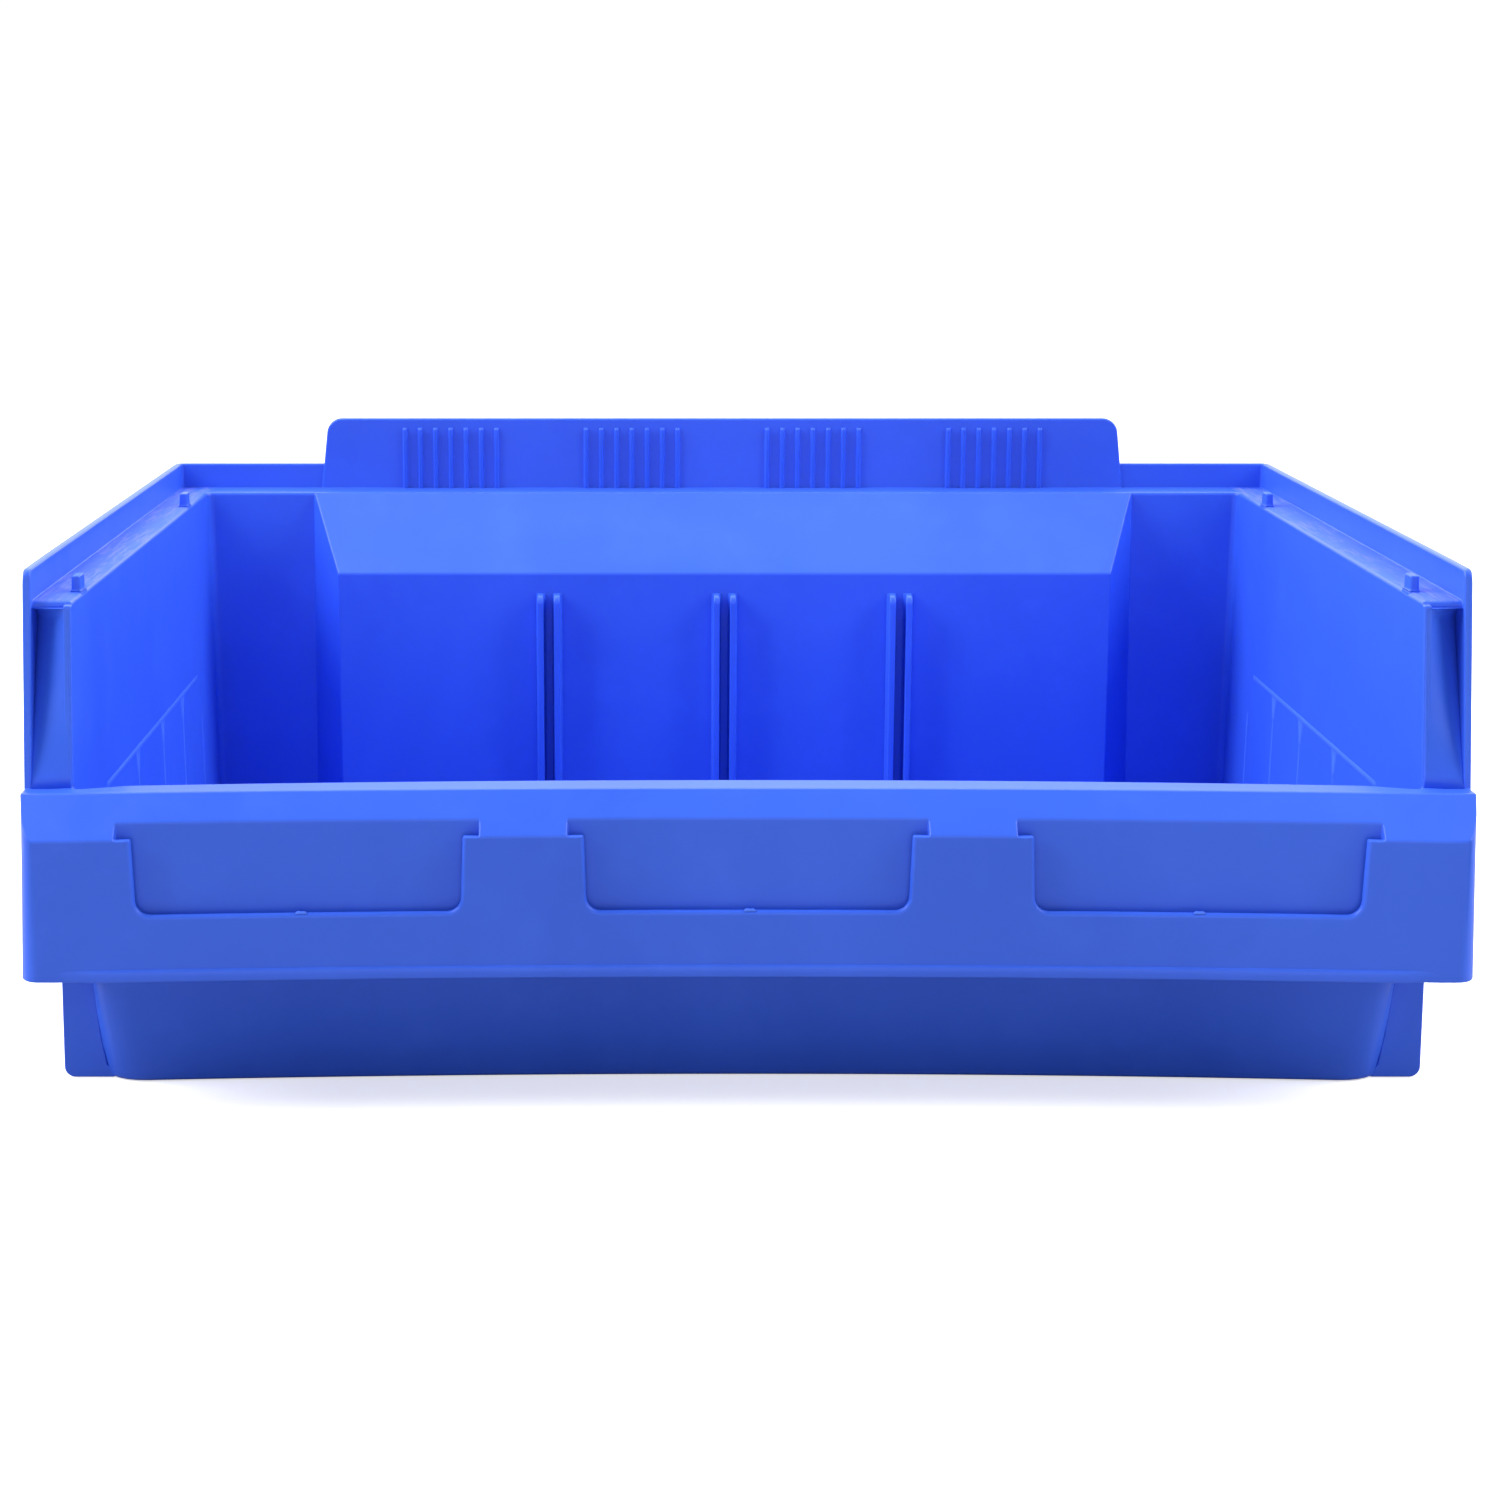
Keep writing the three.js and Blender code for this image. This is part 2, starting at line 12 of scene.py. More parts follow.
import bmesh
import bpy
from mathutils import Matrix, Vector


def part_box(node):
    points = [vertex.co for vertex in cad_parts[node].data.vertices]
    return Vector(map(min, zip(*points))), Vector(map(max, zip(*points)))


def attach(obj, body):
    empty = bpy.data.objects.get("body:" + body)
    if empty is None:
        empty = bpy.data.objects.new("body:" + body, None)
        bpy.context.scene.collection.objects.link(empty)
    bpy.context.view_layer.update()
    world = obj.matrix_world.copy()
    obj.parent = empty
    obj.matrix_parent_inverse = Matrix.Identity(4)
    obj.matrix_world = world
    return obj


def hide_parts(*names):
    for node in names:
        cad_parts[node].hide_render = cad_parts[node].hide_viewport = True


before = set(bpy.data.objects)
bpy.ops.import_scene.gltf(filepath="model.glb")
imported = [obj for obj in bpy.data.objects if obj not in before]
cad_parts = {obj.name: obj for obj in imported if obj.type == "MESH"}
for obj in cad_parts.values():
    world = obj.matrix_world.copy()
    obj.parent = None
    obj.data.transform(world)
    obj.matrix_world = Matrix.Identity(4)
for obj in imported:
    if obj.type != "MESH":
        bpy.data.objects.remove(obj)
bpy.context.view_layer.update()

MM = 0.001
BODY = "root"


def node_box(node):
    """Lowest and highest corner of a CAD node, in millimetres."""
    low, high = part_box(node)
    return low / MM, high / MM


# ---------------------------------------------------------------- sizes read from the frame

skirt_low, skirt_high = node_box("side_skirt_right")
ledge_low, ledge_high = node_box("side_ledge_right")
band_low, band_high = node_box("label_band")
shelf_low, shelf_high = node_box("foot_shelf_right")

HALF_W = skirt_high.x
FRONT_Y = band_low.y
REAR_Y = skirt_high.y
RIM_Z = skirt_high.z
RIM = skirt_high.x - skirt_low.x
SKIRT_Z = node_box("rear_skirt")[0].z
RIM_FRONT_Y = ledge_low.y
LEDGE_Z = ledge_high.z
LEDGE_REAR_Y = ledge_high.y
INSIDE_X = ledge_low.x
WALL = ledge_high.z - ledge_low.z
LIP_Z = band_high.z
BAND_Z = band_low.z
FLOOR = node_box("floor_panel")[1].z
BULGE_Y = node_box("grip_recess_panel")[0].y
TAB_Z = node_box("hanging_tab")[1].z
POCKET_Z = node_box("label_pocket_2")[0].z

# ---------------------------------------------------------------- sizes of the moulding's details

DRAFT = 0.018  # how far the tub's sides lean out, per unit of height
FRONT_LEAN = 0.2516  # how far the front wall leans out, per unit of height
FLOOR_FRONT_Y = -114.8
FRONT_EDGE_SLOPE = 0.2237  # how far the cheeks' front edge leans back, per unit of height
FLOOR_EDGE_R = 1.2
CAVITY_EDGE_R = 3
CORNER_R_LOW = 12
CORNER_R_HIGH = 2
REAR_CORNER_R = 2.5
RIM_REAR_R = 3.4
BOW = 7
LIP_BOW = 10
BOW_HALF = 189

BAND = 2
BAND_R = 6
BAND_TOP_Z = 79.7
BEVEL_RUN = 9.8
BEVEL_WALL = 2
BEAD = 0.8
BEAD_HEIGHT = 3.4
BEAD_HALF = 190
LIP_RISE = 1.4
LIP_WIDTH = 6.2
LIP_REAR_RUN = 2.5
LIP_END_INSET = 0.3
LIP_FLAT_END = 6  # from the bin's side to where the lip starts to rise
LIP_FULL_END = 30  # and to where it is at its full height
WINDOW_PITCH = 123
WINDOW_WIDTH = 90
WINDOW_TAPER = 0.8
WINDOW_BOTTOM_Z = 58.6
WINDOW_R = 4
NOTCH_WIDTH = 98.8
POCKET_BACK = 3.6
POCKET_WALL = 1.6
POCKET_FLOOR_Z = 56
POCKET_END = 1.5

CHEEK_REAR_Y = -112
CHEEK_R = 42
CHEEK_TOP_R = 3
CHANNEL_DEPTH = 12
CHANNEL_PROUD = 0.05
CHANNEL_TOP_R = 4.5
BULGE_HALF = 136.9
BULGE_TOP_HALF = 147.7
BULGE_ROOT_HALF = 149.8
BULGE_Z = 115.4

TAB_WALL = 3.2
TAB_TOP_HALF = 143.5
TAB_BASE_HALF = 146.4
TAB_R = 5.5
TAB_RIBS = 7
TAB_RIB_PITCH = 5.56
TAB_RIB_WIDTH = 1.8
TAB_RIB_HEIGHT = 1.2
TAB_RIB_TOP_Z = 163.2
TAB_RIB_END_R = 1.1
TAB_GROUP_PITCH = 66

GUIDE_PITCH = 62.2
GUIDE_SLOT = 3.6
GUIDE_WIDTH = 2.2
GUIDE_DEPTH = 7
GUIDE_TOP_Z = 108.4
GUIDE_R = 3
GUIDE_FLARE = 0.8

FOOT_WALL = 2
FOOT_R = 3
FOOT_LEAN = 0.7
SHELF_R = 2
GUSSETS_Y = (-108.7, -87, -33, 14, 55, 96, 128)
NUB_Y = (-101.5, 93.5)
NUB_INSET = 0.6
NUB_WIDTH = 2.7
NUB_LENGTH = 7
NUB_TOP_Z = 145.8
NUB_R = 0.6

SHRINK_Z = 81.2
SHRINK_REAR_Y = 90
SHRINK_WIDTH = 1.8
SHRINK_HEIGHT = 0.2
UPRIGHT_WIDTH = 1.2
SLANT = 9  # how far a slanting line starts below the level one
GATE_MARK = (3.2, 1.3, 0.55)  # length, width and height

DRAW_IN_Y = -100  # the outer side faces lean in from here forwards, fully after the run
DRAW_IN_RUN = 30
DRAW_IN_MARGIN = 8
# (height, how far they lean in there)
FRONT_DRAW_IN = ((BAND_Z, 0.7), (BAND_TOP_Z + 3, 3.4), (LIP_Z + 5, 0.1), (RIM_Z, 0.4))

BEND_Y = -96  # the front is bent inwards from here forwards, fully after the run
BEND_RUN = 8
BEND_SLICES = 42

EDGE_R = 1.0
INNER_SHARE = 0.3  # the edges' radii, as shares of EDGE_R
PLAIN_SHARE = 0.55
UPSTAND_SHARE = 0.75
WINDOW_SHARE = 1.3
LEDGE_SHARE = 1.35

ROOT = 0.4  # how far a separate piece is sunk into the shell
BEVEL_SLOPE = (LIP_Z - BAND_TOP_Z) / BEVEL_RUN
LIP_OUTER_Y = FRONT_Y + BEVEL_RUN


def mix(a, b, t):
    return a + (b - a) * t


def clamp(value):
    return max(0.0, min(1.0, value))


def steps(low, high, count):
    return [mix(low, high, i / count) for i in range(count + 1)]


def inside_x(z):
    return INSIDE_X - DRAFT * (LEDGE_Z - z)


def inside_rear_y(z):
    return LEDGE_REAR_Y - DRAFT * (LEDGE_Z - z)


def corner_r(z):
    """Inside radius of the tub's front corners, largest at the floor."""
    return mix(CORNER_R_LOW, CORNER_R_HIGH, clamp(z / LIP_Z))


def front_edge_y(z):
    return RIM_FRONT_Y - FRONT_EDGE_SLOPE * (RIM_Z - z)


def front_wall_y(z):
    """Front face of the tub's front wall, at its ends."""
    return FLOOR_FRONT_Y - FRONT_LEAN * z


def tub_half_width(y, z, grow):
    """Half the tub's width at a depth and height, on a face grown outwards from its inside."""
    side = inside_x(z) + grow
    radius = corner_r(z) + grow
    into_corner = radius - (y - (front_wall_y(z) + WALL - grow))
    if into_corner <= 0:
        return side
    return side - radius + math.sqrt(max(0.0, radius**2 - into_corner**2))


def bow(x):
    """How much of the front's inward bend there is at x: 1 in the middle, 0 at the ends."""
    return max(0.0, 1 - (x / BOW_HALF) ** 2)


# ---------------------------------------------------------------- mesh helpers


def is_flat(face):
    middle = face.calc_center_median()
    return all(abs((v.co - middle).dot(face.normal)) < 1e-3 for v in face.verts)


def new_piece(name, points, faces):
    mesh = bpy.data.meshes.new(name)
    mesh.from_pydata([tuple(p) for p in points], [], faces)
    body = bmesh.new()
    body.from_mesh(mesh)
    bmesh.ops.remove_doubles(body, verts=body.verts, dist=1e-4)
    bmesh.ops.recalc_face_normals(body, faces=body.faces)
    skewed = [face for face in body.faces if not is_flat(face)]
    bmesh.ops.triangulate(body, faces=skewed)
    body.to_mesh(mesh)
    body.free()
    piece = bpy.data.objects.new(name, mesh)
    bpy.context.scene.collection.objects.link(piece)
    return piece


def along_x(u, v, w):
    return (w, u, v)


def along_y(u, v, w):
    return (u, w, v)


def along_z(u, v, w):
    return (u, v, w)


def loft(name, rows):
    """Closed outlines with equally many points, joined one to the next and capped."""
    n = len(rows[0])
    points = [p for row in rows for p in row]
    last = (len(rows) - 1) * n
    faces = [tuple(range(n)), tuple(range(last, last + n))]
    for r in range(len(rows) - 1):
        for i in range(n):
            j = (i + 1) % n
            faces.append((r * n + i, r * n + j, (r + 1) * n + j, (r + 1) * n + i))
    return new_piece(name, points, faces)


def prism(name, outline, low, high, place):
    """An outline in two coordinates, drawn out from low to high along the third."""
    return loft(name, [[place(u, v, w) for u, v in outline] for w in (low, high)])


def rounded(corners, segments=6):
    """Points of an outline whose corners are (u, v) or (u, v, radius)."""
    points = []
    n = len(corners)
    for i, corner in enumerate(corners):
        here = Vector(corner[:2])
        radius = corner[2] if len(corner) > 2 else 0
        if not radius:
            points.append(tuple(here))
            continue
        before = (Vector(corners[i - 1][:2]) - here).normalized()
        after = (Vector(corners[(i + 1) % n][:2]) - here).normalized()
        half_angle = before.angle(after) / 2
        centre = here + (before + after).normalized() * (radius / math.sin(half_angle))
        reach = radius / math.tan(half_angle)
        start = (here + before * reach - centre).normalized()
        end = (here + after * reach - centre).normalized()
        points += [tuple(centre + start.slerp(end, k / segments) * radius) for k in range(segments + 1)]
    return points


def settle(piece):
    """Make the modifiers' result the piece's own mesh."""
    depsgraph = bpy.context.evaluated_depsgraph_get()
    mesh = bpy.data.meshes.new_from_object(piece.evaluated_get(depsgraph))
    piece.modifiers.clear()
    piece.data = mesh
    return piece


def combine(target, tool, operation):
    modifier = target.modifiers.new(operation.lower(), "BOOLEAN")
    modifier.operation = operation
    modifier.solver = "MANIFOLD"
    modifier.object = tool
    settle(target)
    bpy.data.objects.remove(tool)
    return target


def join(target, tool):
    return combine(target, tool, "UNION")


def cut(target, tool):
    return combine(target, tool, "DIFFERENCE")


def keep(target, tool):
    return combine(target, tool, "INTERSECT")


def merge(name, pieces):
    """Several loose pieces as one object, without joining their surfaces."""
    body = bmesh.new()
    for piece in pieces:
        body.from_mesh(piece.data)
        bpy.data.objects.remove(piece)
    mesh = bpy.data.meshes.new(name)
    body.to_mesh(mesh)
    body.free()
    merged = bpy.data.objects.new(name, mesh)
    bpy.context.scene.collection.objects.link(merged)
    return merged


def clean(piece):
    """Take out slivers, doubled points and needless cuts across flat faces."""
    body = bmesh.new()
    body.from_mesh(piece.data)
    bmesh.ops.remove_doubles(body, verts=body.verts, dist=0.02)
    bmesh.ops.dissolve_degenerate(body, edges=body.edges, dist=0.02)
    bmesh.ops.dissolve_limit(
        body,
        angle_limit=math.radians(0.3),
        verts=body.verts,
        edges=body.edges,
        use_dissolve_boundaries=False,
    )
    body.to_mesh(piece.data)
    body.free()
    return piece


def round_edges(piece, radius, segments=3, share=lambda edge: 1.0):
    """Round every sharp edge; share(edge) scales the radius."""
    body = bmesh.new()
    body.from_mesh(piece.data)
    weight = body.edges.layers.float.new("bevel_weight_edge")
    for edge in body.edges:
        if edge.is_manifold and edge.calc_face_angle() > math.radians(33):
            edge[weight] = share(edge)
    body.to_mesh(piece.data)
    body.free()
    modifier = piece.modifiers.new("round", "BEVEL")
    modifier.limit_method = "WEIGHT"
    modifier.width = radius
    modifier.segments = segments
    modifier.use_clamp_overlap = False
    modifier.miter_outer = "MITER_ARC"
    return settle(piece)


def drawn_in(y, z):
    """How far the outer side faces lean in, near the front, at this depth and height."""
    inset = FRONT_DRAW_IN[0][1]
    for (z0, inset0), (z1, inset1) in zip(FRONT_DRAW_IN, FRONT_DRAW_IN[1:]):
        if z0 <= z <= z1:
            inset = mix(inset0, inset1, (z - z0) / (z1 - z0))
    return inset * clamp((DRAW_IN_Y - y) / DRAW_IN_RUN)


def bend_depth(y, z):
    """How far the middle of the front is bent inwards at this depth and height."""
    at_wall = mix(BOW, LIP_BOW, clamp(z / LIP_Z))
    depth = mix(BOW, at_wall, clamp((y - LIP_OUTER_Y) / LIP_WIDTH))
    return depth * clamp((BEND_Y - y) / BEND_RUN)


def bend(piece):
    """Bend the front of a piece inwards, in slices narrow enough to look curved."""
    body = bmesh.new()
    body.from_mesh(piece.data)

    def slice_at(point, normal, limit_y):
        faces = [face for face in body.faces if all(v.co.y < limit_y for v in face.verts)]
        edges = {edge for face in faces for edge in face.edges}
        verts = {v for face in faces for v in face.verts}
        geometry = faces + list(edges) + list(verts)
        bmesh.ops.bisect_plane(body, geom=geometry, dist=1e-4, plane_co=point, plane_no=normal)

    straight_y = BEND_Y + 1
    slice_at((0, straight_y, 0), (0, 1, 0), REAR_Y + 10)
    for x in steps(-BOW_HALF, BOW_HALF, BEND_SLICES):
        slice_at((x, 0, 0), (1, 0, 0), straight_y + 0.1)
    for v in body.verts:
        outer = clamp((abs(v.co.x) - INSIDE_X - DRAW_IN_MARGIN) / DRAW_IN_MARGIN)
        v.co.x -= math.copysign(outer * drawn_in(v.co.y, v.co.z), v.co.x)
        v.co.y += bow(v.co.x) * bend_depth(v.co.y, v.co.z)
    body.to_mesh(piece.data)
    body.free()
    return piece


def finish(piece, material, *nodes):
    """Metres, smooth shading and material; the piece is parented to its body, and the CAD nodes it stands
    for are hidden.
    """
    piece.data.transform(Matrix.Scale(MM, 4))
    for polygon in piece.data.polygons:
        polygon.use_smooth = True
    modifier = piece.modifiers.new("shading", "WEIGHTED_NORMAL")
    modifier.weight = 60
    modifier.keep_sharp = False
    settle(piece)
    piece.data.materials.clear()
    piece.data.materials.append(material)
    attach(piece, BODY)
    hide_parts(*nodes)
    return piece


# ---------------------------------------------------------------- the shell


def footprint(side_inset, front_inset):
    """The rim's outline, seen from above, moved inwards."""
    side = HALF_W - side_inset
    front = FRONT_Y + front_inset
    rear = REAR_Y - side_inset
    rear_r = max(1.0, RIM_REAR_R - side_inset)
    return rounded(
        [
            (-side, front, BAND_R - front_inset),
            (side, front, BAND_R - front_inset),
            (side, rear, rear_r),
            (-side, rear, rear_r),
        ],
        10,
    )


def outer_ring():
    """Band, cheeks, skirts and upstands: one wall round the whole footprint, cut to its profile."""
    ring = prism("ring", footprint(0, 0), BAND_Z, RIM_Z, along_z)
    cut(ring, prism("inside", footprint(RIM, BAND), BAND_Z - 10, RIM_Z + 10, along_z))
    reach = HALF_W + 50
    profile = rounded(
        [
            (CHEEK_REAR_Y, BAND_Z - 10),
            (CHEEK_REAR_Y, SKIRT_Z, CHEEK_R),
            (REAR_Y + 20, SKIRT_Z),
            (REAR_Y + 20, BAND_Z - 10),
        ],
        14,
    )
    return cut(ring, prism("under_skirt", profile, -reach, reach, along_x))


def tub_block(name, grow, z_low, z_high, floor_radius):
    """The tub as a solid block, grown outwards from its inside faces by a wall's thickness."""

    def outline(z, inset):
        side = inside_x(z) + grow - inset
        front = front_wall_y(z) + WALL - grow + inset
        rear = inside_rear_y(z) + grow - inset
        front_r = max(1.0, corner_r(z) + grow - inset)
        rear_r = max(1.0, REAR_CORNER_R + grow - inset)
        corners = [
            (-side, front, front_r),
            (side, front, front_r),
            (side, rear, rear_r),
            (-side, rear, rear_r),
        ]
        return [(x, y, z) for x, y in rounded(corners, 7)]

    rows = []
    for angle in steps(0, math.pi / 2, 4):
        rise = floor_radius * (1 - math.cos(angle))
        rows.append(outline(z_low + rise, floor_radius * (1 - math.sin(angle))))
    rows += [outline(z, 0) for z in (LIP_Z / 2, LIP_Z, z_high)]
    return loft(name, rows)


def lip_profile(rise):
    """The lip's top, which rises towards the inside, and the bevel down to the band's face, as (y, z)."""
    length = math.hypot(BEVEL_RUN, LIP_Z - BAND_TOP_Z)
    into_y = BEVEL_WALL * (LIP_Z - BAND_TOP_Z) / length
    into_z = -BEVEL_WALL * BEVEL_RUN / length
    under_z = LIP_Z - WALL
    under_y = LIP_OUTER_Y + into_y - (LIP_Z + into_z - under_z) / BEVEL_SLOPE
    rear_y = LIP_OUTER_Y + LIP_WIDTH + LIP_REAR_RUN
    lap_z = BAND_TOP_Z - 3
    return [
        (FRONT_Y, lap_z),
        (FRONT_Y, BAND_TOP_Z),
        (LIP_OUTER_Y, LIP_Z),
        (LIP_OUTER_Y + LIP_WIDTH, LIP_Z + rise),
        (rear_y, LIP_Z),
        (rear_y, under_z),
        (under_y, under_z),
        (FRONT_Y + into_y, BAND_TOP_Z + into_z),
        (FRONT_Y + BAND, lap_z),
    ]


def lip_and_bevel():
    """The lip, whose top is level towards the corners, with the bevel below it."""
    reach = HALF_W + 5
    flat_from = HALF_W - LIP_FLAT_END
    full_from = HALF_W - LIP_FULL_END
    rows = []
    for x in (-reach, -flat_from, -full_from, full_from, flat_from, reach):
        rise = LIP_RISE if abs(x) <= full_from else 0
        rows.append([(x, y, z) for y, z in lip_profile(rise)])
    drawn = ((0, 0), (BAND_TOP_Z, 0), (LIP_Z, LIP_END_INSET), (RIM_Z, LIP_END_INSET))
    corners = [[(x, y, z) for x, y in footprint(inset, 0)] for z, inset in drawn]
    return keep(loft("lip", rows), loft("corners", corners))


def channel_floor(side):
    """The lip runs back under each front channel."""
    ends = sorted((side * (INSIDE_X - 3), side * (HALF_W - RIM / 2)))
    outline = [
        (LIP_OUTER_Y + 3, LIP_Z - WALL),
        (LIP_OUTER_Y + 3, LIP_Z),
        (RIM_FRONT_Y, LIP_Z),
        (RIM_FRONT_Y, LIP_Z - WALL),
    ]
    return prism("channel_floor", outline, *ends, along_x)


def front_cutter():
    """All that lies in front of the slanting cheeks and above the bevel."""
    reach = HALF_W + 50
    drop = 20
    outline = [
        (FRONT_Y - drop, BAND_TOP_Z - drop * BEVEL_SLOPE),
        (LIP_OUTER_Y, LIP_Z),
        (front_edge_y(LIP_Z), LIP_Z),
        (RIM_FRONT_Y, RIM_Z, CHEEK_TOP_R),
        (RIM_FRONT_Y + 30, RIM_Z + 0.01),
        (RIM_FRONT_Y + 30, RIM_Z + drop),
        (FRONT_Y - drop, RIM_Z + drop),
    ]
    return prism("front_cutter", rounded(outline), -reach, reach, along_x)


def bulge_block(name, shrink, rear_y, z_low):
    """The bulge in the rear wall (shrink 0), or the hand recess behind it (shrink of one wall)."""
    per_depth = 1 / (LEDGE_REAR_Y - BULGE_Y)
    slope = (LEDGE_Z - BULGE_Z) * per_depth
    depth = rear_y - BULGE_Y
    drop = shrink * math.hypot(1, slope)

    def half(at_rear, y):
        return mix(BULGE_HALF, at_rear, (y - BULGE_Y) * per_depth) - shrink * 1.08

    points = []
    for side in (-1, 1):
        for y, top_z in ((BULGE_Y + shrink, BULGE_Z + slope * shrink), (rear_y, BULGE_Z + slope * depth)):
            points.append((side * half(BULGE_ROOT_HALF, y), y, z_low))
            points.append((side * half(BULGE_TOP_HALF, y), y, top_z - drop))
    faces = [(0, 1, 3, 2), (4, 6, 7, 5), (0, 4, 5, 1), (1, 5, 7, 3), (3, 7, 6, 2), (2, 6, 4, 0)]
    return new_piece(name, points, faces)


def window_cutter(centre):
    half = WINDOW_WIDTH / 2
    opening = rounded(
        [
            (centre - half + WINDOW_TAPER, WINDOW_BOTTOM_Z, WINDOW_R),
            (centre + half - WINDOW_TAPER, WINDOW_BOTTOM_Z, WINDOW_R),
            (centre + half, BAND_TOP_Z + 1),
            (centre - half, BAND_TOP_Z + 1),
        ]
    )
    cutter = prism("opening", opening, FRONT_Y - 5, FRONT_Y + BAND + 2, along_y)
    half = NOTCH_WIDTH / 2
    notch = [
        (centre - half, BAND_TOP_Z),
        (centre + half, BAND_TOP_Z),
        (centre + half, LIP_Z + 5),
        (centre - half, LIP_Z + 5),
    ]
    return join(cutter, prism("notch", notch, FRONT_Y - 5, FRONT_Y + POCKET_BACK, along_y))


def tab_plate():
    """The hanging tab, flush with the rear skirt's outer face and thicker than the rim."""
    outline = rounded(
        [
            (-TAB_BASE_HALF, LEDGE_Z - ROOT),
            (TAB_BASE_HALF, LEDGE_Z - ROOT),
            (TAB_TOP_HALF, TAB_Z, TAB_R),
            (-TAB_TOP_HALF, TAB_Z, TAB_R),
        ],
        8,
    )
    return prism("tab_plate", outline, REAR_Y - TAB_WALL, REAR_Y, along_y)


def rim_share(edge):
    """The windows', upstands' and ledges' edges are rounder than others, and inner corners sharper."""
    middle = (edge.verts[0].co + edge.verts[1].co) / 2

    def on_upstand(v):
        outside = abs(v.co.x) > HALF_W - RIM - 0.1 or v.co.y > REAR_Y - TAB_WALL - 0.1
        return outside and v.co.z > LIP_Z + 0.5

    def on_window(v):
        from_centre = min(abs(v.co.x - index * WINDOW_PITCH) for index in (-1, 0, 1))
        inside = from_centre < WINDOW_WIDTH / 2 + 0.1 and v.co.z < BAND_TOP_Z + 0.1
        return inside and abs(v.co.y - FRONT_Y) < 0.01 and v.co.z > WINDOW_BOTTOM_Z - 0.1

    if not edge.is_convex:
        return INNER_SHARE
    if all(on_window(v) for v in edge.verts):
        return WINDOW_SHARE
    if all(on_upstand(v) for v in edge.verts):
        return UPSTAND_SHARE
    if abs(middle.z - LEDGE_Z) < 0.2 and abs(middle.x) > BULGE_TOP_HALF:
        return LEDGE_SHARE
    return PLAIN_SHARE


def moulded_shell():
    shell = outer_ring()
    join(shell, tub_block("tub", WALL, 0, LEDGE_Z - 1, FLOOR_EDGE_R))
    ledge = [
        (-HALF_W + RIM / 2, RIM_FRONT_Y),
        (HALF_W - RIM / 2, RIM_FRONT_Y),
        (HALF_W - RIM / 2, REAR_Y - RIM / 2),
        (-HALF_W + RIM / 2, REAR_Y - RIM / 2),
    ]
    join(shell, prism("ledge", ledge, LEDGE_Z - WALL, LEDGE_Z, along_z))
    cut(shell, front_cutter())
    join(shell, lip_and_bevel())
    for side in (-1, 1):
        join(shell, channel_floor(side))
    cut(shell, tub_block("cavity", 0, FLOOR, RIM_Z + 20, CAVITY_EDGE_R))
    join(shell, bulge_block("bulge", 0, LEDGE_REAR_Y + 0.01, FLOOR / 2))
    cut(shell, bulge_block("recess", WALL, LEDGE_REAR_Y + WALL + 0.4, -5))
    for index in (-1, 0, 1):
        cut(shell, window_cutter(index * WINDOW_PITCH))
    join(shell, tab_plate())
    clean(shell)
    round_edges(shell, EDGE_R, 3, rim_share)
    shell.name = "moulded_shell"
    return bend(shell)


# ---------------------------------------------------------------- pieces rooted in the shell


def half_round(name, centre, width, height, length_rows, place, softness=1):
    """A low rounded rib; length_rows are (position along it, share of its height there)."""
    rows = []
    for along, share in length_rows:
        row = []
        for angle in steps(0, math.pi, 8):
            across = centre - width / 2 * math.cos(angle)
            row.append(place(across, height * share * math.sin(angle) ** softness, along))
        row.append(place(centre + width / 2, -ROOT, along))
        row.append(place(centre - width / 2, -ROOT, along))
        rows.append(row)
    return loft(name, rows)


def tab_ribs():
    """Four groups of upright gripping ribs on the front of the hanging tab."""

    def on_tab(across, out, along):
        return (across, REAR_Y - TAB_WALL - out, along)

    ends = [(LEDGE_Z - ROOT, 1), (TAB_RIB_TOP_Z - TAB_RIB_END_R, 1)]
    for angle in steps(0.3, 1.5, 4):
        drop = TAB_RIB_END_R * (1 - math.sin(angle))
        ends.append((TAB_RIB_TOP_Z - drop, math.cos(angle) + 0.02))
    ribs = []
    for group in (-1.5, -0.5, 0.5, 1.5):
        for i in range(TAB_RIBS):
            x = group * TAB_GROUP_PITCH + (i - (TAB_RIBS - 1) / 2) * TAB_RIB_PITCH
            ribs.append(half_round("rib", x, TAB_RIB_WIDTH, TAB_RIB_HEIGHT, ends, on_tab))
    return merge("hanging_tab_ribs", ribs)


def band_bead():
    """The thicker bottom edge of the label band, which fades out before the corners."""
    rows = []
    for x in steps(-BEAD_HALF, BEAD_HALF, 76):
        out = min(BEAD, BOW * bow(x) - 0.08)
        low = BAND_Z + 0.02 + 0.7 * clamp(1 - out / 0.4)
        profile = [(FRONT_Y + BAND / 2, low), (FRONT_Y - out + 0.15, low), (FRONT_Y - out, low + 0.2)]
        for angle in steps(0, math.pi / 2, 7):
            y = FRONT_Y + 0.1 - (out + 0.1) * math.cos(angle)
            profile.append((y, mix(BAND_Z + 1.3, BAND_Z + BEAD_HEIGHT, math.sin(angle))))
        profile.append((FRONT_Y + BAND / 2, BAND_Z + BEAD_HEIGHT))
        rows.append([(x, y, z) for y, z in profile])
    return bend(loft("band_bead", rows))


